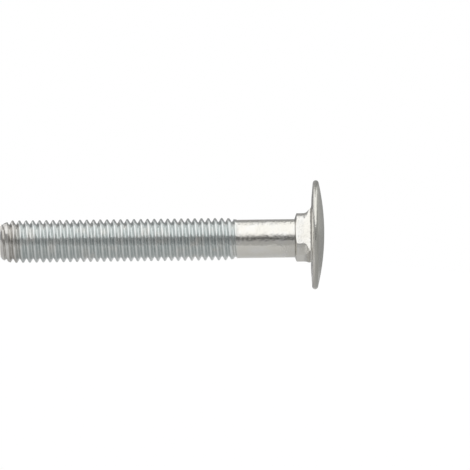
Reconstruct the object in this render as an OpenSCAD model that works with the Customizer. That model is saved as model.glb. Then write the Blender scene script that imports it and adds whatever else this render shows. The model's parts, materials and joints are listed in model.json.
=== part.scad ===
// Carriage bolt: a shallow domed head, a square neck that flares into it,
// a reduced shank and a rolled thread, all one forged piece.
// It lies on its side, on the rim of the head and the first crests of the thread.
// All sizes are in millimetres.

/* [Head] */
// Diameter of the head
head_d = 20.2; // [18:0.1:24]
// Height of the head, from the face that bears on the work to the crown
head_h = 2.4; // [2.2:0.1:4]
// How far the head was forged off the axis of the shank, away from the ground
head_shift = 0.6; // [0:0.05:0.8]
// Radius that rounds the rim of the head
rim_round = 0.45; // [0.3:0.05:0.6]
// How far the underside has risen from the bearing face where it meets the rim
rim_rise = 0.3; // [0.1:0.05:0.6]
// Diameter of the flat bearing ring under the head
bearing_d = 14; // [13:0.1:16]

/* [Square neck] */
// Width of the neck across its flats
neck_w = 8; // [7.6:0.1:8.6]
// Diameter to which the four corners of the neck are turned down
corner_d = 9.3; // [9:0.1:10.4]
// Length of the neck, from the bearing face to the shank
neck_l = 3.1; // [2.8:0.1:5]
// Length of the cone between the shank and the neck
shoulder_l = 0.55; // [0.4:0.05:0.8]
// Length over which the corners flare out to the head
flare_l = 1.25; // [1:0.05:1.6]
// Angle of the flare to the axis
flare_angle = 58; // [50:1:65]
// Hollow radius where the flare begins
flare_round = 0.5; // [0.3:0.05:0.7]
// Fillet between the flats of the neck and the head
neck_fillet = 0.35; // [0.2:0.05:0.5]
// Turn of the square about the axis, out of level with the ground
neck_turn = -16; // [-45:1:45]

/* [Shank] */
// Length of the bolt under the head
bolt_l = 57.6; // [52:0.1:120]
// Diameter of the plain shank, near the pitch diameter of the rolled thread
shank_d = 7.1; // [6.8:0.05:7.4]

/* [Thread] */
// Outside diameter of the thread
thread_d = 7.85; // [7.75:0.05:8]
// Distance from one turn of the thread to the next
thread_pitch = 1.25; // [1.1:0.05:1.5]
// Length of the thread, from the tip to the end of its run-out
thread_l = 44.1; // [22:0.1:46]
// Hand of the thread
thread_hand = "right"; // [right, left]
// Where the first crest passes the side that lies on the ground
thread_start = 0.4; // [0:0.05:1.25]
// Length over which the last crests sink to the shank
crest_fade_l = 2.2; // [1.5:0.1:3]
// Length over which the last groove rises to the shank
groove_fade_l = 1.1; // [0.8:0.1:2]

/* [Tip] */
// Diameter of the flat end
end_d = 5.5; // [4.5:0.1:6]
// Radius that rounds the edge of the end
end_round = 1; // [0.6:0.1:1.4]
// Length of the tapered start of the thread
taper_l = 2; // [1.4:0.1:3]

/* [Hidden] */

// Facets of a round form, of the flatter crown, and of the thread in one turn
$fn = 144;
crown_steps = 720;
thread_steps = 36;
// How far one form runs into the next, so that they join as one piece
overlap = 0.5;
// How far a cone is carried on inside the form that it joins
cone_overlap = 0.1;
// How deep a crossing of two round outlines goes, so that they meet cleanly
seam = 0.01;

head_r = head_d / 2;
bearing_r = bearing_d / 2;
corner_r = corner_d / 2;
shank_r = shank_d / 2;
thread_r = thread_d / 2;
end_r = end_d / 2;

// The rim circle, and the crown arc that lies on it
rim_r = head_r - rim_round;
rim_z = bolt_l + rim_rise + rim_round;
crown_z = bolt_l + head_h;
crown_rise = crown_z - rim_z;
dome_r = (rim_r * rim_r + crown_rise * crown_rise - rim_round * rim_round)
    / (2 * (crown_rise - rim_round));
dome_z = crown_z - dome_r;
rim_bearing = atan2(rim_r, rim_z - dome_z);

// The underside runs from the bearing ring to the rim circle as a tangent
under_reach = norm([rim_r - bearing_r, rim_z - bolt_l]);
under_angle = atan2(rim_z - bolt_l, rim_r - bearing_r) - asin(rim_round / under_reach);

// The neck along the axis
neck_z = bolt_l - neck_l;
shoulder_z = neck_z + shoulder_l;
flare_z = bolt_l - flare_l;
shoulder_slope = (corner_r - shank_r) / shoulder_l;
hollow_r = corner_r + flare_round;
flare_start = [hollow_r - flare_round * cos(flare_angle), flare_z + flare_round * sin(flare_angle)];
flare_r = flare_start[0] + (bolt_l - flare_start[1]) * tan(flare_angle);

// The metric thread form: its depth and its crest as parts of the pitch, and its flanks
form_depth = 0.6134;
form_crest = 1 / 8;
flank_angle = 30;
root_r = thread_r - form_depth * thread_pitch;
crest_w = form_crest * thread_pitch;
groove_w = thread_pitch - crest_w - 2 * (thread_r - root_r) * tan(flank_angle);
form_z = [-crest_w / 2, crest_w / 2, (thread_pitch - groove_w) / 2, (thread_pitch + groove_w) / 2];
form_r = [thread_r, thread_r, root_r, root_r];
hand = thread_hand == "right" ? 1 : -1;

// Whole turns of the form, which starts below the tip and ends above the run-out
low_turns = ceil(thread_start / thread_pitch) + 1;
first_crest = thread_start - low_turns * thread_pitch;
turns = ceil((thread_l - first_crest) / thread_pitch) + 1;

// The rounded edge of the tip, from where the flat end cuts it to where the taper takes over
end_angle = 74;
taper_angle = 20;
end_round_r = end_r - end_round * cos(end_angle);
end_round_z = end_round * sin(end_angle);
taper_start = [
    end_round_r + end_round * cos(taper_angle),
    end_round_z - end_round * sin(taper_angle)
];
taper_slope = (thread_r - taper_start[0]) / (taper_l - taper_start[1]);

// Edges of the crests near the tip, on the side that lies on the ground
near_turns = ceil(taper_l / thread_pitch) + 1;
crest_edges = [
    for (k = [0:near_turns])
        let (low = thread_start + k * thread_pitch - crest_w / 2, high = low + crest_w)
            each [low, max(low, min(high, taper_l)), high]
];
crest_points = [for (z = crest_edges) [thread_r - max(0, taper_l - z) * taper_slope, z]];

// How the bolt lies: the ground touches the rim of the head and the lowest of those points
lie_angle = min([for (point = crest_points) ground_angle(point)]);
lift = (rim_r - head_shift) * cos(lie_angle) + rim_round - rim_z * sin(lie_angle);
tip_x = -end_r * sin(lie_angle);
crown_x = dome_z * cos(lie_angle) + dome_r - head_shift * sin(lie_angle);

// Angle between the axis and a line that touches the rim and passes through a point of the thread
function ground_angle(point) =
    let (run = rim_z - point[1], drop = rim_r - head_shift - point[0])
        atan2(drop, run) + asin(rim_round / norm([run, drop]));

// Points of an arc about a centre, from one angle to another
function arc(centre, r, from, to, count) =
    [for (i = [0:count]) let (a = from + (to - from) * i / count) centre + r * [cos(a), sin(a)]];

// Two triangles for the four corners of a patch
function patch(a, b, c, d) = hand > 0 ? [[a, b, c], [a, c, d]] : [[a, c, b], [a, d, c]];

// Triangles from a point to each side of a loop, which face up or down the axis
function fan(tip, loop, up) = [
    for (i = [0:len(loop) - 1])
        let (a = loop[i], b = loop[(i + 1) % len(loop)])
            up == (hand > 0) ? [tip, b, a] : [tip, a, b]
];

// Outline of the head: the crown arc over a flat ring and a shallow cone, closed by the rim circle
module head_outline() {
    inward = rim_round - seam;
    under_end = [rim_r + inward * sin(under_angle), rim_z - inward * cos(under_angle)];
    rim_out = [rim_r + 2 * rim_round * sin(rim_bearing), rim_z + 2 * rim_round * cos(rim_bearing)];
    intersection() {
        translate([0, dome_z]) circle(r = dome_r, $fn = crown_steps);
        polygon([
            [0, bolt_l],
            [bearing_r, bolt_l],
            under_end,
            [rim_r, rim_z],
            rim_out,
            [rim_r, crown_z + overlap],
            [0, crown_z + overlap]
        ]);
    }
    translate([rim_r, rim_z + seam]) circle(r = rim_round);
}

module head() {
    translate([-head_shift, 0, 0]) rotate_extrude() head_outline();
}

// Side view of the flats: straight, then a hollow fillet out to the head
module flat_side() {
    half = neck_w / 2;
    side = concat(
        [[half, neck_z - overlap]],
        arc([half + neck_fillet, bolt_l - neck_fillet], neck_fillet, 180, 90, 5),
        [[half + neck_fillet, bolt_l + overlap]]
    );
    polygon(concat(side, [for (i = [len(side) - 1:-1:0]) [-side[i][0], side[i][1]]]));
}

module flat_pair() {
    rotate([90, 0, 0]) linear_extrude(4 * flare_r, center = true) flat_side();
}

// Turned outline that trims the corners: shoulder cone, cylinder and flare
module corner_outline() {
    start_z = neck_z - cone_overlap;
    polygon(concat(
        [[0, start_z], [shank_r - shoulder_slope * cone_overlap, start_z], [corner_r, shoulder_z]],
        arc([hollow_r, flare_z], flare_round, 180, 180 - flare_angle, 4),
        [[flare_r, bolt_l], [flare_r, bolt_l + overlap], [0, bolt_l + overlap]]
    ));
}

module neck() {
    rotate([0, 0, neck_turn]) intersection() {
        flat_pair();
        rotate([0, 0, 90]) flat_pair();
        rotate_extrude() corner_outline();
    }
}

// Plain shank, which starts as a cone in the last groove and ends inside the head
module shank() {
    cone_slope = (shank_r - root_r) / groove_fade_l;
    start_z = thread_l - groove_fade_l - cone_overlap;
    rotate_extrude() polygon([
        [0, start_z],
        [root_r - cone_slope * cone_overlap, start_z],
        [shank_r, thread_l],
        [shank_r, bolt_l + overlap],
        [0, bolt_l + overlap]
    ]);
}

// Endless thread: each turn of the form is stitched to the next along the helix,
// and the two ends are closed by fans from the axis
module thread_form() {
    count = turns * thread_steps;
    last = count - thread_steps;
    rise = thread_pitch / thread_steps;
    points = [
        for (j = [0:count], k = [0:3])
            let (a = hand * 360 * j / thread_steps)
                [form_r[k] * cos(a), form_r[k] * sin(a), first_crest + rise * j + form_z[k]]
    ];
    ends = [[0, 0, first_crest], [0, 0, first_crest + rise * count]];
    flanks = [
        for (j = [0:count - 1], k = [0:2])
            each patch(4 * j + k, 4 * j + k + 1, 4 * j + k + 5, 4 * j + k + 4)
    ];
    stitches = [
        for (j = [0:last - 1], next = j + thread_steps)
            each patch(4 * j + 3, 4 * next, 4 * next + 4, 4 * j + 7)
    ];
    low_loop = concat([for (j = [0:thread_steps]) 4 * j], [3, 2, 1]);
    high_loop = concat([for (j = [last:count]) 4 * j + 3], [for (k = [2:-1:0]) 4 * count + k]);
    low_end = fan(len(points), low_loop, false);
    high_end = fan(len(points) + 1, high_loop, true);
    polyhedron(concat(points, ends), concat(flanks, stitches, low_end, high_end));
}

// Rolled blank: rounded end and taper at the tip, and the cone on which the last crests sink
module thread_blank() {
    free_r = thread_r + overlap;
    fade_slope = (thread_r - shank_r) / crest_fade_l;
    fade_z = thread_l - crest_fade_l;
    rotate_extrude() polygon(concat(
        [[0, 0]],
        arc([end_round_r, end_round_z], end_round, -end_angle, -taper_angle, 5),
        [
            [free_r, taper_l + overlap / taper_slope],
            [free_r, fade_z - overlap],
            [thread_r + fade_slope * cone_overlap, fade_z - cone_overlap],
            [shank_r - fade_slope * overlap, thread_l + overlap],
            [0, thread_l + overlap]
        ]
    ));
}

module thread() {
    intersection() {
        thread_form();
        thread_blank();
    }
}

module bolt() {
    color([0.78, 0.79, 0.8])
        translate([-(tip_x + crown_x) / 2, 0, lift])
            rotate([0, 90 - lie_angle, 0]) {
                head();
                neck();
                shank();
                thread();
            }
}

bolt();
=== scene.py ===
import json
import math

import bmesh
import bpy
import numpy as np
from mathutils import Matrix, Vector


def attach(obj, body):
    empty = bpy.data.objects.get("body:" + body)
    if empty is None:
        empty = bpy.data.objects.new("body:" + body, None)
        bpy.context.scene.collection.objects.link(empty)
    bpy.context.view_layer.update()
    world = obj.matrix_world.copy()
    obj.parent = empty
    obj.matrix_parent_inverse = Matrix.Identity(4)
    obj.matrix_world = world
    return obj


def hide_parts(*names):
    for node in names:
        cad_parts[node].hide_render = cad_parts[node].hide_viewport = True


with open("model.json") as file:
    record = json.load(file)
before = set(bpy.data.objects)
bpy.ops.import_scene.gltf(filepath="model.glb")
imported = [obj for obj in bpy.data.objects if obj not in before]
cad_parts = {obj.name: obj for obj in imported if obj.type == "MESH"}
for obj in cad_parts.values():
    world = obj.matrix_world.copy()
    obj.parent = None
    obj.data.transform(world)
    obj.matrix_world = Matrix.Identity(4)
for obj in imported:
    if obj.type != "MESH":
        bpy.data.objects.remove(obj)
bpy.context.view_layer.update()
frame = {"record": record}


# The bolt as it lies
# It rests on the rim of its head and on the first crests of its thread. It is drawn in its
# own frame, in millimetres: the tip at the origin, the axis along +Z, and the ground on its +X side.
MM = 0.001
mounts = {mount["name"]: mount for mount in frame["record"]["mounts"]}
tip_end = Vector(mounts["thread"]["pos_m"])
to_head = -Vector(mounts["thread"]["axis"]).normalized()
level = Vector((0, 1, 0))
to_ground = level.cross(to_head)
lying = Matrix.Translation(tip_end) @ Matrix((to_ground, level, to_head)).transposed().to_4x4()


# Tip and thread
# The thread is rolled into a blank that was turned to a rounded, tapered end. It is a right-hand
# metric thread with its crests and roots rounded over, and it runs out into the plain shank.
thread_radius = mounts["thread"]["dims"]["r_mm"]
thread_length = mounts["thread"]["dims"]["length_mm"]
pitch = 1.25
depth_in_pitches = 0.6134
groove_angle = math.radians(60)
crest_width = 0.26
first_crest = 0.4
shank_radius = 3.55
root_radius = thread_radius - depth_in_pitches * pitch
flank_slope = 1 / math.tan(groove_angle / 2)

# The blank has a flat end with a rounded edge, then a taper up to its full size. At the far end the
# crests sink to the shank over one length, and the last groove rises to it over another.
end_radius = 2.75
end_round = 1.0
end_angle = math.radians(74)
taper_angle = math.radians(20)
taper_length = 2.0
crest_fade = 2.2
groove_fade = 1.1
crest_softness = 0.12
root_softness = 0.14
trim_softness = 0.07
rolled_height = 0.006
rolled_size = 1.3
rolled_seed = 3

# The thread is one strip of rows that winds round the axis. It has rows on the crest, down the
# flank and in the root, at these distances from the middle of the crest. It starts one turn before
# the first crest and ends one turn past the last.
full_turn = 2 * math.pi
columns = 120
around = full_turn * np.arange(columns) / columns
half_marks = np.array([0.04, 0.09, 0.13, 0.175, 0.3, 0.42, 0.5, 0.58])
marks = np.concatenate([-half_marks[::-1], half_marks])
turns_before = 1
turns_after = 1
turns = turns_before + math.ceil((thread_length - first_crest) / pitch) + turns_after
strip_rows = turns * len(marks)


def ring_points(angle, radius, height, centre=0.0):
    """Points of one ring round the axis, or round a line that lies `centre` along X from it."""
    shape = np.broadcast(angle, radius, height).shape
    x = centre + radius * np.cos(angle)
    y = radius * np.sin(angle)
    return np.stack([np.broadcast_to(part, shape) for part in (x, y, height)], axis=-1)


def soft_min(a, b, width):
    """The lesser of two values, rounded where they cross."""
    near = np.maximum(width - np.abs(a - b), 0) / width
    return np.minimum(a, b) - near * near * width / 4


def soft_max(a, b, width):
    """The greater of two values, rounded where they cross."""
    return -soft_min(-a, -b, width)


def unevenness(points, size, seed):
    """Random hills and hollows, about `size` from one to the next, between about -1 and 1."""
    waves = 24
    size_range = (0.75, 1.5)
    draw = np.random.default_rng(seed)
    direction = draw.normal(size=(waves, 3))
    direction /= np.linalg.norm(direction, axis=1, keepdims=True)
    wave_number = full_turn / (size * draw.uniform(*size_range, waves))
    phase = draw.uniform(0, full_turn, waves)
    total = np.zeros(points.shape[:-1])
    for k in range(waves):
        total += np.sin(points @ (direction[k] * wave_number[k]) + phase[k])
    return total / math.sqrt(2 * waves)


def roughened(points, height, size, seed, centre=0.0):
    """The points, moved towards or away from the axis by an uneven skin of a given height."""
    outward = points - [centre, 0, 0]
    outward[..., 2] = 0
    outward /= np.linalg.norm(outward, axis=-1, keepdims=True)
    return points + outward * (height * unevenness(points, size, seed))[..., None]


def blank_radius(z):
    """Outline of the blank: rounded end, taper, full size, then the cone of the run-out."""
    centre_r = end_radius - end_round * math.cos(end_angle)
    centre_z = end_round * math.sin(end_angle)
    start_z = centre_z - end_round * math.sin(taper_angle)
    start_r = centre_r + end_round * math.cos(taper_angle)
    rounded = centre_r + np.sqrt(np.maximum(end_round**2 - (np.maximum(z, 0) - centre_z) ** 2, 0))
    taper = start_r + (thread_radius - start_r) * (z - start_z) / (taper_length - start_z)
    tip = np.where(z < start_z, rounded, taper)
    fade = thread_radius - (thread_radius - shank_radius) * (z - thread_length + crest_fade) / crest_fade
    return np.minimum(tip, fade)


def core_radius(z):
    """What is under the last groove: the cone on which it rises to the shank."""
    rise = np.clip((z - thread_length + groove_fade) / groove_fade, -1, 1)
    return root_radius + (shank_radius - root_radius) * rise


def threaded_radius(z, across):
    """Radius at a height, and at a distance across the thread from the middle of its crest."""
    flank = thread_radius + (crest_width / 2 - np.abs(across)) * flank_slope
    groove = soft_max(soft_min(flank, thread_radius, crest_softness), root_radius, root_softness)
    trimmed = soft_min(groove, blank_radius(z), trim_softness)
    return soft_max(trimmed, core_radius(z), trim_softness)


turn, place = np.divmod(np.arange(strip_rows), len(marks))
across = marks[place][:, None]
strip_z = first_crest + pitch * (turn[:, None] - turns_before + around / full_turn) + across
strip = ring_points(around, threaded_radius(strip_z, across), strip_z)
strip = roughened(strip, rolled_height, rolled_size, rolled_seed)


# Plain shank
# The shank is the drawn wire itself, a little under the size of the thread, with a finely
# dented skin. Its columns drift, towards the neck, to where the edges of the square will be.
bolt_length = (Vector(mounts["bearing_face"]["pos_m"]) - tip_end).length / MM
neck_length = mounts["square_neck"]["dims"]["length_mm"]
neck_z = bolt_length - neck_length
neck_turn = math.radians(-16)
eighth_turn = full_turn / 8
least_edge = math.radians(12)
edge_bevel = math.radians(0.8)
flat_columns = 8
corner_columns = 4

seam_gap = 0.2
shank_start = float(strip_z[-1].max()) + seam_gap
shank_rows = 58
smooth_share = 0.125
fine_height = 0.008
fine_size = 0.62
fine_seed = 5
coarse_height = 0.010
coarse_size = 1.5
coarse_seed = 6


def square_columns(edge):
    """Angles of the columns round the neck, whose flats end at the angle `edge` from their middles."""
    flat = (np.arange(flat_columns) + 0.5) / (flat_columns + 0.5) * (edge - edge_bevel)
    bevel = edge + edge_bevel * np.array([-1, 0, 1])
    corner_start = edge + edge_bevel
    corner_room = eighth_turn - corner_start
    corner = corner_start + corner_room * np.arange(1, corner_columns + 1) / (corner_columns + 0.5)
    half = np.concatenate([flat, bevel, corner])
    side = np.concatenate([-half[::-1], half])
    angles = np.concatenate([neck_turn + 2 * eighth_turn * k + side for k in range(4)])
    first = round((eighth_turn - neck_turn) / full_turn * columns - 0.5)
    return np.concatenate([angles[first:], angles[:first] + full_turn])


rings = []
for step in np.linspace(0, 1, shank_rows):
    drift = step * step * (3 - 2 * step)
    angle = (1 - drift) * around + drift * square_columns(least_edge)
    ring = ring_points(angle, shank_radius, shank_start + (neck_z - shank_start) * step)
    settled = min(1, step / smooth_share, (1 - step) / smooth_share)
    ring = roughened(ring, fine_height * settled, fine_size, fine_seed)
    rings.append(roughened(ring, coarse_height * settled, coarse_size, coarse_seed))


# Square neck
# The neck is forged square in the die, then its corners are turned down. A cone joins it
# to the shank, and at the other end the corners flare out and the flats curve into the head.
# It stands a little off the shank's axis, and drifts on to the middle of the head as it flares.
neck_half = 4.0
corner_radius = 4.65
neck_shift = -0.14
head_shift = -0.6
shoulder_length = 0.38
flare_length = 1.42
flare_angle = math.radians(58)
flare_round = 0.7
neck_fillet = 0.35
edge_softness = 0.05
forged_height = 0.007
forged_size = 1.6
forged_seed = 8
shoulder_rows = 9
straight_rows = 8
flare_rows = 18
flare_start = bolt_length - flare_length


def turned_radius(z):
    """Outline of the turned corners: shoulder cone, cylinder, hollow and flare."""
    cone = shank_radius + (corner_radius - shank_radius) * (z - neck_z) / shoulder_length
    above = max(z - flare_start, 0)
    hollow_end = flare_round * math.sin(flare_angle)
    hollow = flare_round - math.sqrt(max(flare_round**2 - min(above, hollow_end) ** 2, 0))
    flare = max(above - hollow_end, 0) * math.tan(flare_angle)
    return min(cone, corner_radius + hollow + flare)


def flat_distance(z):
    """Distance of a flat from the axis, with its fillet at the head."""
    sunk = max(neck_fillet - (bolt_length - z), 0)
    return neck_half + neck_fillet - math.sqrt(neck_fillet**2 - sunk**2)


heights = np.concatenate([
    neck_z + shoulder_length * np.arange(1, shoulder_rows + 1) / shoulder_rows,
    np.linspace(neck_z + shoulder_length, flare_start, straight_rows + 1)[1:],
    bolt_length - flare_length * (1 - np.sin(np.arange(1, flare_rows + 1) / flare_rows * math.pi / 2)),
])
for z in heights:
    onto_neck = min((z - neck_z) / shoulder_length, 1)
    onto_head = max(1 - (bolt_length - z) / flare_length, 0) ** 2
    centre = neck_shift * onto_neck + (head_shift - neck_shift) * onto_head
    turned, flat = turned_radius(z), flat_distance(z)
    edge = math.acos(min(flat / turned, 1))
    edge = min(max(edge, least_edge), eighth_turn - 2 * edge_bevel)
    angle = square_columns(edge)
    from_middle = (angle - neck_turn + eighth_turn) % (2 * eighth_turn) - eighth_turn
    ring = ring_points(angle, soft_min(turned, flat / np.cos(from_middle), edge_softness), z, centre)
    rings.append(roughened(ring, forged_height, forged_size, forged_seed, centre))


# Head
# The head is a shallow dome, upset 0.6 mm off the axis of the shank and one degree out of
# square. Under it lie a flat bearing ring and a slight cone, and a rounded rim joins the two sides.
head_radius = 10.1
head_height = 2.4
head_lean = math.radians(1)
rim_round = 0.55
rim_rise = 0.2
bearing_radius = 7.0
bearing_rows = 4
under_rows = 7
rim_rows = 13
dome_rows = 62
dome_crowding = 1.25

rim_radius = head_radius - rim_round
rim_z = bolt_length + rim_rise + rim_round
crown_rise = bolt_length + head_height - rim_z
dome_radius = (rim_radius**2 + crown_rise**2 - rim_round**2) / (2 * (crown_rise - rim_round))
dome_z = bolt_length + head_height - dome_radius
dome_angle = math.atan2(rim_radius, rim_z - dome_z)
under_reach = math.hypot(rim_radius - bearing_radius, rim_z - bolt_length)
under_slope = math.atan2(rim_z - bolt_length, rim_radius - bearing_radius)
rim_start = under_slope - math.asin(rim_round / under_reach) - math.pi / 2
cone_start = np.array([bearing_radius, bolt_length])
cone_end = np.array([rim_radius, rim_z]) + rim_round * np.array([math.cos(rim_start), math.sin(rim_start)])


def head_ring(radius, z):
    """A ring of the head, whose upper side leans a little away from the thread."""
    ring = ring_points(around, radius, z, head_shift)
    ring[:, 2] -= (ring[:, 0] - head_shift) * math.sin(head_lean)
    return ring


neck_foot = rings[-1]
for step in np.arange(1, bearing_rows + 1) / bearing_rows:
    rings.append((1 - step) * neck_foot + step * head_ring(bearing_radius, bolt_length))
for step in np.arange(1, under_rows) / under_rows:
    radius, z = (1 - step) * cone_start + step * cone_end
    rings.append(head_ring(radius, z))
for angle in np.linspace(rim_start, math.pi / 2 - dome_angle, rim_rows):
    rings.append(head_ring(rim_radius + rim_round * math.cos(angle), rim_z + rim_round * math.sin(angle)))
dome = []
for step in np.arange(1, dome_rows) / dome_rows:
    angle = dome_angle * (1 - step) ** dome_crowding
    dome.append(head_ring(dome_radius * math.sin(angle), dome_z + dome_radius * math.cos(angle)))
crown = np.array([head_shift, 0, bolt_length + head_height])
dome = np.concatenate([*dome, crown[None]])


# Marks on the crown
# The crown was struck when the head was upset, which left it a little wavy, and it has rubbed
# against other bolts since. It has a patch of short nicks, and a few longer scratches beside it.
nick_count = 110
nick_middle = (-0.35, 0.0)
nick_spread = (0.75, 1.25)
nick_swing = math.radians(32)
nick_length = (0.25, 0.85)
nick_width = (0.05, 0.1)
nick_depth = (0.010, 0.028)
nick_seed = 21
scratch_starts = [(2.9, -2.5), (3.1, -2.0), (2.8, -1.3), (1.9, -2.2)]
scratch_run = (-2.0, 1.9)
scratch_width = 0.11
scratch_depth = 0.014

# The waves are sunk, so that none stands higher than the true dome.
wave_height = 0.006
wave_size = 3.2
wave_seed = 9
wave_sink = 1.5
ripple_height = 0.0012
ripple_size = 0.9
ripple_seed = 10

# Places on the crown are given upwards from its middle, and to the right as seen from the end.
on_crown = np.stack([head_shift - dome[:, 0], dome[:, 1]], axis=-1)
draw = np.random.default_rng(nick_seed)
strokes = []
for _ in range(nick_count):
    middle = draw.normal(0, nick_spread, 2) + nick_middle
    heading = math.atan2(middle[1], middle[0]) + draw.normal(0, nick_swing)
    half = draw.uniform(*nick_length) / 2 * np.array([math.cos(heading), math.sin(heading)])
    strokes.append((middle - half, middle + half, draw.uniform(*nick_width), draw.uniform(*nick_depth)))
for start in scratch_starts:
    first = np.array(start)
    strokes.append((first, first + scratch_run, scratch_width, scratch_depth))
sunk = np.zeros(len(dome))
for first, last, width, depth in strokes:
    run = last - first
    share = np.clip((on_crown - first) @ run / (run @ run), 0, 1)
    away = np.linalg.norm(on_crown - first - share[:, None] * run, axis=1)
    sunk = np.maximum(sunk, depth * np.exp(-((away / width) ** 2)))
dome[:, 2] += wave_height * (unevenness(dome, wave_size, wave_seed) - wave_sink) - sunk
dome[:, 2] += ripple_height * unevenness(dome, ripple_size, ripple_seed)


# One skin
# The bolt is one forging, so its skin is one closed mesh: a strip that winds up the thread,
# rings from the shank to the crown, and a flat end at the tip, where the strip is cut off.
ring_count = len(rings) + dome_rows - 1
cut_tolerance = 1e-5
sharp_angle = math.radians(40)


def quads(*corners):
    """Four-sided faces, from four equal grids of point numbers."""
    return np.stack(corners, axis=-1).reshape(-1, 4).tolist()


def skin_faces():
    """Faces of the whole skin, from the first turn of the thread to the crown."""
    number = np.arange(strip_rows * columns).reshape(strip_rows, columns)
    faces = quads(number[:-1, :-1], number[:-1, 1:], number[1:, 1:], number[1:, :-1])
    # After one turn, the strip's last column meets its first, one turn of rows further on.
    step = len(marks)
    low, high = number[: -step - 1, -1], number[1:-step, -1]
    faces += quads(low, number[step:-1, 0], number[step + 1 :, 0], high)
    # The strip's upper edge joins the first ring, with one face over the step that a helix leaves.
    ring_number = strip_rows * columns + np.arange(ring_count * columns).reshape(ring_count, columns)
    top, first = number[-1], ring_number[0]
    faces += quads(top[:-1], top[1:], first[1:], first[:-1])
    faces.append([int(k) for k in (*number[-step - 1 :, -1][::-1], number[-1, 0], first[0], first[-1])])
    lower, upper = ring_number[:-1], ring_number[1:]
    faces += quads(lower, np.roll(lower, -1, axis=1), np.roll(upper, -1, axis=1), upper)
    last = ring_number[-1].tolist()
    centre = last[-1] + 1
    faces += [[here, beyond, centre] for here, beyond in zip(last, last[1:] + last[:1])]
    return faces


points = np.concatenate([strip.reshape(-1, 3), *rings, dome])
skin = bpy.data.meshes.new("carriage_bolt")
skin.from_pydata(points.tolist(), [], skin_faces())
shell = bmesh.new()
shell.from_mesh(skin)
own_frame = shell.verts.layers.float_vector.new("own_frame")
mark = shell.verts.layers.float.new("mark")
shell.verts.ensure_lookup_table()
for number, depth in enumerate(sunk / max(nick_depth), start=len(points) - len(dome)):
    shell.verts[number][mark] = depth
everything = shell.verts[:] + shell.edges[:] + shell.faces[:]
bmesh.ops.bisect_plane(
    shell, geom=everything, dist=cut_tolerance, plane_co=(0, 0, 0), plane_no=(0, 0, -1), clear_outer=True
)
bmesh.ops.holes_fill(shell, edges=[edge for edge in shell.edges if edge.is_boundary], sides=0)
bmesh.ops.recalc_face_normals(shell, faces=shell.faces[:])
for vertex in shell.verts:
    vertex[own_frame] = vertex.co
shell.transform(lying @ Matrix.Scale(MM, 4))
shell.to_mesh(skin)
shell.free()
skin.shade_smooth()
skin.set_sharp_from_angle(angle=sharp_angle)
bolt = bpy.data.objects.new("carriage_bolt", skin)
bpy.context.scene.collection.objects.link(bolt)
shading = bolt.modifiers.new("even shading", "WEIGHTED_NORMAL")
shading.keep_sharp = True


# Bright zinc
# The whole bolt is zinc plated: brownish on the first turns, bluish on the thread, then warmer, with
# paler patches. Painted shade darkens the corner at the neck, and brown painted shade lies under the
# head. The nicks are dull, and the rim keeps the lighter zinc of the shank as a painted highlight. The
# crown is satin, and the skin is more dented from the shank to the crown than on the thread.
tip_zinc = (0.60, 0.587, 0.562)
thread_zinc = (0.685, 0.715, 0.71)
shank_zinc = (0.75, 0.733, 0.682)
pale_zinc = (0.77, 0.765, 0.745)
head_zinc = (0.60, 0.598, 0.552)
# A grey for the painted shade in the neck's corner, which also dulls the nicks on the crown.
shade_and_nick_grey = (0.16, 0.15, 0.15)
# A brown for the painted shade under the head.
under_head_shade_brown = (0.30, 0.275, 0.25)

# Heights between which one finish gives way to the next, and where the lines of painted shade come in and
# go out.
tip_fade = (2.5, 4.2)
thread_fade = (thread_length - 1, thread_length)
# The rim keeps the lighter shank zinc as a painted highlight, and the head's zinc only takes over past it.
head_fade_past_rim_highlight = (bolt_length + 0.2, bolt_length + 1.1)
crown_fade = (bolt_length + 1.1, bolt_length + 1.5)
hammered_fade = (thread_length - 0.6, thread_length)
# Painted shade: a dark line in the corner where the shank meets the neck, and a brown one under the head.
corner_shade_line = ((neck_z - 0.05, neck_z + 0.02), (neck_z + 0.14, neck_z + 0.26))
under_head_shade_line = ((bolt_length - 0.06, bolt_length - 0.01), (bolt_length + 0.12, bolt_length + 0.28))
line_strength = 0.6

# A grain is given as lumps to a millimetre, then the finer layers on them, then its stretch along
# the bolt where it has one.
patch_grain = (0.35, 2)
patch_fade = (0.45, 0.8)
gloss_grain = (0.8, 3)
gloss_fade = (0.3, 0.7)
gloss_range = (0.14, 0.24)
crown_satin = 0.16
mark_fade = (0.15, 0.9)
coarse_grain = (1.7, 2)
fine_grain = (3.2, 2)
fine_share = 0.5
hammered_grain = (1.9, 3, 0.8)
hammered_strength = 3.3
layer_strength = 0.55
relief_strength = 0.5
relief_depth = 0.03

zinc = bpy.data.materials.new("bright_zinc")
zinc.use_nodes = True
nodes, links = zinc.node_tree.nodes, zinc.node_tree.links
metal = nodes["Principled BSDF"]
metal.inputs["Metallic"].default_value = 1.0
on_bolt = nodes.new("ShaderNodeAttribute")
on_bolt.attribute_name = "own_frame"
along = nodes.new("ShaderNodeSeparateXYZ")
links.new(on_bolt.outputs["Vector"], along.inputs[0])
length_wise = along.outputs["Z"]
nicked = nodes.new("ShaderNodeAttribute")
nicked.attribute_name = "mark"


def worked_out(operation, *values):
    """One step of arithmetic on numbers and sockets, in the node tree in hand."""
    step = nodes.new("ShaderNodeMath")
    step.operation = operation
    for socket, value in zip(step.inputs, values):
        if isinstance(value, float):
            socket.default_value = value
        else:
            links.new(value, socket)
    return step.outputs[0]


def grain(scale, detail, stretch=1.0):
    """Noise over the bolt, in its own millimetres, drawn out along it."""
    fitted = nodes.new("ShaderNodeMapping")
    fitted.inputs["Scale"].default_value = (1, 1, 1 / stretch)
    links.new(on_bolt.outputs["Vector"], fitted.inputs["Vector"])
    noise = nodes.new("ShaderNodeTexNoise")
    noise.inputs["Scale"].default_value = scale
    noise.inputs["Detail"].default_value = detail
    noise.inputs["Roughness"].default_value = layer_strength
    links.new(fitted.outputs["Vector"], noise.inputs["Vector"])
    return noise.outputs["Fac"]


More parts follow.
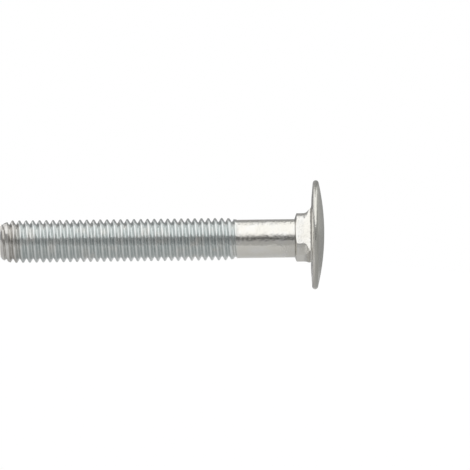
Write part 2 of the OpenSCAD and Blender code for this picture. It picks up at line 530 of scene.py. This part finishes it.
def between(value, ends, results=(0.0, 1.0)):
    """The value, spread from its two ends to two results, softly at both."""
    spread = nodes.new("ShaderNodeMapRange")
    spread.interpolation_type = "SMOOTHSTEP"
    spread.inputs["From Min"].default_value = ends[0]
    spread.inputs["From Max"].default_value = ends[1]
    spread.inputs["To Min"].default_value = results[0]
    spread.inputs["To Max"].default_value = results[1]
    links.new(value, spread.inputs["Value"])
    return spread.outputs["Result"]


def band(comes_in, goes_out):
    """A line round the bolt, which comes in and goes out between two pairs of heights."""
    entry = between(length_wise, comes_in)
    return worked_out("MULTIPLY", entry, between(length_wise, goes_out, (line_strength, 0.0)))


def tinted(share, first, second):
    """One colour or socket mixed with another."""
    blend = nodes.new("ShaderNodeMix")
    blend.data_type = "RGBA"
    links.new(share, blend.inputs["Factor"])
    for value, name in ((first, "A"), (second, "B")):
        socket = next(s for s in blend.inputs if s.name == name and s.type == "RGBA")
        if isinstance(value, tuple):
            socket.default_value = (*value, 1)
        else:
            links.new(value, socket)
    return next(s for s in blend.outputs if s.type == "RGBA")


colour = tinted(between(length_wise, tip_fade), tip_zinc, thread_zinc)
colour = tinted(between(length_wise, thread_fade), colour, shank_zinc)
colour = tinted(between(grain(*patch_grain), patch_fade), colour, pale_zinc)
# The head's zinc comes in past the rim, which stays lighter as a painted highlight.
colour = tinted(between(length_wise, head_fade_past_rim_highlight), colour, head_zinc)
# Painted shade in the corner at the neck and under the head.
colour = tinted(band(*corner_shade_line), colour, shade_and_nick_grey)
colour = tinted(band(*under_head_shade_line), colour, under_head_shade_brown)
colour = tinted(between(nicked.outputs["Fac"], mark_fade), colour, shade_and_nick_grey)
links.new(colour, metal.inputs["Base Color"])

uneven_gloss = between(grain(*gloss_grain), gloss_fade, gloss_range)
crown_gloss = between(length_wise, crown_fade, (0.0, crown_satin))
links.new(worked_out("ADD", uneven_gloss, crown_gloss), metal.inputs["Roughness"])

skin_grain = worked_out("MULTIPLY_ADD", grain(*fine_grain), fine_share, grain(*coarse_grain))
hammering = between(length_wise, hammered_fade, (0.0, hammered_strength))
hammered = worked_out("MULTIPLY_ADD", grain(*hammered_grain), hammering, skin_grain)
relief = nodes.new("ShaderNodeBump")
relief.inputs["Strength"].default_value = relief_strength
relief.inputs["Distance"].default_value = relief_depth * MM
links.new(hammered, relief.inputs["Height"])
links.new(relief.outputs["Normal"], metal.inputs["Normal"])
skin.materials.append(zinc)
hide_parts("bolt")
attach(bolt, "root")


# Ground
# The bolt lies on a matt white board, which keeps its shadow, in a white room. The camera sees
# both as white. The metal sees the room as white too, and the board as a light grey.
ground_size = 4.0
board_grey = 0.75
board_glow = 1.16
seen_share = 0.8
reflected_share = 0.33
room_light = 0.5
white = (1, 1, 1, 1)


def empty_tree(owner):
    """Nodes and links of a material or world, with nothing in them yet."""
    owner.use_nodes = True
    owner.node_tree.nodes.clear()
    return owner.node_tree.nodes, owner.node_tree.links


def white_share(seen, reflected):
    """One factor for what the camera sees, and another for what metal and glass show of it."""
    rays = nodes.new("ShaderNodeLightPath")
    either = worked_out("MAXIMUM", rays.outputs["Is Glossy Ray"], rays.outputs["Is Transmission Ray"])
    part = worked_out("MULTIPLY", either, reflected)
    return worked_out("MULTIPLY_ADD", rays.outputs["Is Camera Ray"], seen, part)


bpy.ops.mesh.primitive_plane_add(size=ground_size)
ground = bpy.context.object
ground.name = "ground"
board = bpy.data.materials.new("white_board")
nodes, links = empty_tree(board)
matt = nodes.new("ShaderNodeBsdfDiffuse")
matt.inputs["Color"].default_value = (board_grey, board_grey, board_grey, 1)
glow = nodes.new("ShaderNodeEmission")
glow.inputs["Color"].default_value = white
glow.inputs["Strength"].default_value = board_glow
mixed = nodes.new("ShaderNodeMixShader")
links.new(white_share(seen_share, reflected_share), mixed.inputs["Fac"])
links.new(matt.outputs[0], mixed.inputs[1])
links.new(glow.outputs[0], mixed.inputs[2])
out = nodes.new("ShaderNodeOutputMaterial")
links.new(mixed.outputs[0], out.inputs["Surface"])
ground.data.materials.append(board)

room = bpy.data.worlds.new("white_room")
bpy.context.scene.world = room
nodes, links = empty_tree(room)
air = nodes.new("ShaderNodeBackground")
air.inputs["Color"].default_value = white
strength = worked_out("ADD", white_share(1 - room_light, 1 - room_light), room_light)
links.new(strength, air.inputs["Strength"])
out = nodes.new("ShaderNodeOutputWorld")
links.new(air.outputs[0], out.inputs["Surface"])


# Light
# One large softbox hangs over the bolt, somewhat towards the tip and the camera. Grey cards, which
# only the metal sees, stand for the studio round it: they draw its dark edges, the streak along
# it, and the grey of its head.
softbox_place = (-0.187, -0.115, 0.343)
softbox_back = Vector((0, -0.115, 0.335))
softbox_width = 0.47
softbox_length = 0.76
softbox_power = 0.355

softbox = bpy.data.lights.new("softbox", "AREA")
softbox.shape = "RECTANGLE"
softbox.size = softbox_width
softbox.size_y = softbox_length
softbox.energy = softbox_power
lamp = bpy.data.objects.new("softbox", softbox)
bpy.context.scene.collection.objects.link(lamp)
lamp.location = softbox_place
lamp.rotation_mode = "QUATERNION"
lamp.rotation_quaternion = softbox_back.to_track_quat("Z", "Y")
lamp.visible_camera = False

grey = bpy.data.materials.new("grey_card")
nodes, links = empty_tree(grey)
tone = nodes.new("ShaderNodeAttribute")
tone.attribute_name = "tone"
glow = nodes.new("ShaderNodeEmission")
glow.inputs["Color"].default_value = white
links.new(tone.outputs["Fac"], glow.inputs["Strength"])
out = nodes.new("ShaderNodeOutputMaterial")
links.new(glow.outputs[0], out.inputs["Surface"])


def card(name, shade, first, second, third):
    """A grey card, given by three corners, that only the metal sees."""
    first, second, third = Vector(first), Vector(second), Vector(third)
    sheet = bpy.data.meshes.new(name)
    sheet.from_pydata([first, second, third, first + third - second], [], [[0, 1, 2, 3]])
    sheet.attributes.new("tone", "FLOAT", "FACE").data[0].value = shade
    sheet.materials.append(grey)
    piece = bpy.data.objects.new(name, sheet)
    bpy.context.scene.collection.objects.link(piece)
    piece.visible_camera = False
    piece.visible_shadow = False
    piece.visible_diffuse = False


def beside(across, towards_camera, along_bolt):
    """A place given in millimetres from the bolt's axis, towards the ground and the camera."""
    return lying @ Vector((across * MM, -towards_camera * MM, along_bolt * MM))


def flat_card(name, shade, left, right, start, end):
    """A card that lies just over the ground, given in metres."""
    lift = 0.0003
    card(name, shade, (left, start, lift), (right, start, lift), (right, end, lift))


def upright_card(name, shade, left, right, behind, top):
    """A card that stands behind the bolt, given in metres."""
    card(name, shade, (left, behind, 0), (right, behind, 0), (right, behind, top))


def screen_card(name, shade, left, right, low, high):
    """A card between the bolt and the camera, given in the bolt's own millimetres."""
    away = 50
    card(name, shade, beside(low, away, left), beside(low, away, right), beside(high, away, right))


def end_card(name, shade, past_head, back, front, low, high):
    """A card that faces the crown, given in the bolt's own millimetres."""
    lower = beside(low, back, past_head), beside(low, front, past_head)
    card(name, shade, *lower, beside(high, front, past_head))


# The ground in front of the bolt, which its lower side shows.
ground_front = -0.0118
flat_card("floor_card", shade=0.45, left=-0.3, right=0.3, start=ground_front, end=-0.05)

# The side towards the camera: a dark card makes the streak on the shank, and lighter ones the
# middle of the thread, the front of the rim, and the band above them.
screen_left, shank_from, shank_to, screen_right = -100, 42, 57.4, 70
eye_low, eye_high, band_high = 9, -9, -17
screen_card("thread_card", shade=0.42, left=screen_left, right=shank_from, low=eye_low, high=eye_high)
screen_card("shank_card", shade=0.06, left=shank_from, right=shank_to, low=eye_low, high=eye_high)
screen_card("rim_front_card", shade=0.42, left=shank_to, right=screen_right, low=eye_low, high=band_high)
screen_card("upper_card", shade=0.4, left=screen_left, right=shank_to, low=eye_high, high=band_high)

# Past the tip, and high behind the thread: these shade its flanks and the top of its crests.
wall, wall_top = 0.12, 0.25
left_front, left_back, left_top = (-0.09, -0.12, 0), (-0.14, 0.1, 0), (-0.14, 0.1, 0.065)
over_tip, over_shank = (-0.13, wall, wall_top), (-0.016, wall, wall_top)
over_front = (-0.016, 0.01, wall_top)
card("left_card", 0.36, left_front, left_back, left_top)
card("over_card", 0.42, over_tip, over_shank, over_front)

# The ground under the head, which the neck and the rim show.
foot_from, rim_from, rim_to = 0.0235, 0.0275, 0.039
flat_card("foot_card", shade=0.56, left=foot_from, right=rim_from, start=ground_front, end=wall)
flat_card("rim_card", shade=0.43, left=rim_from, right=rim_to, start=ground_front, end=wall)

# The wall behind, which makes the dark upper edges of the thread, the shank and the dome.
head_at = 0.03
upright_card("skirting", shade=0.3, left=-0.35, right=0.35, behind=0.119, top=0.024)
upright_card("back_card", shade=0.38, left=-0.075, right=head_at, behind=wall, top=wall_top)
upright_card("dome_card", shade=0.33, left=head_at, right=0.085, behind=wall, top=wall_top)

# Beyond the head: a long card for the side of the dome, and a lighter one for its middle.
end_card("head_card", shade=0.41, past_head=70, back=-20, front=250, low=11, high=-25)
end_card("crown_card", shade=0.55, past_head=69, back=-14, front=14, low=-1, high=-20)


# Camera
# It looks square on the bolt from the side through a long lens, and is turned until the bolt
# is almost level. The tip is half a pixel inside the left edge of a frame of 470 by 470 pixels.
frame_pixels = 470
pixels_per_mm = 5.397
left_margin = 0.5
axis_below_middle = 3.98
slope = math.radians(0.71)
distance = 1.2
sensor_width = 36
view_depth = 10

camera_data = bpy.data.cameras.new("camera")
camera_data.sensor_width = sensor_width
camera_data.lens = sensor_width * distance / (frame_pixels / pixels_per_mm * MM)
camera_data.clip_end = view_depth
camera = bpy.data.objects.new("camera", camera_data)
bpy.context.scene.collection.objects.link(camera)
right = math.cos(slope) * to_head + math.sin(slope) * to_ground
up = math.sin(slope) * to_head - math.cos(slope) * to_ground
back = right.cross(up)
middle_along = (frame_pixels / 2 - left_margin) / pixels_per_mm
middle_above = axis_below_middle / pixels_per_mm
target = lying @ Vector((-middle_above * MM, 0, middle_along * MM))
turned = Matrix((right, up, back)).transposed().to_4x4()
camera.matrix_world = Matrix.Translation(target + distance * back) @ turned
bpy.context.scene.camera = camera
bpy.context.scene.view_settings.view_transform = "Standard"
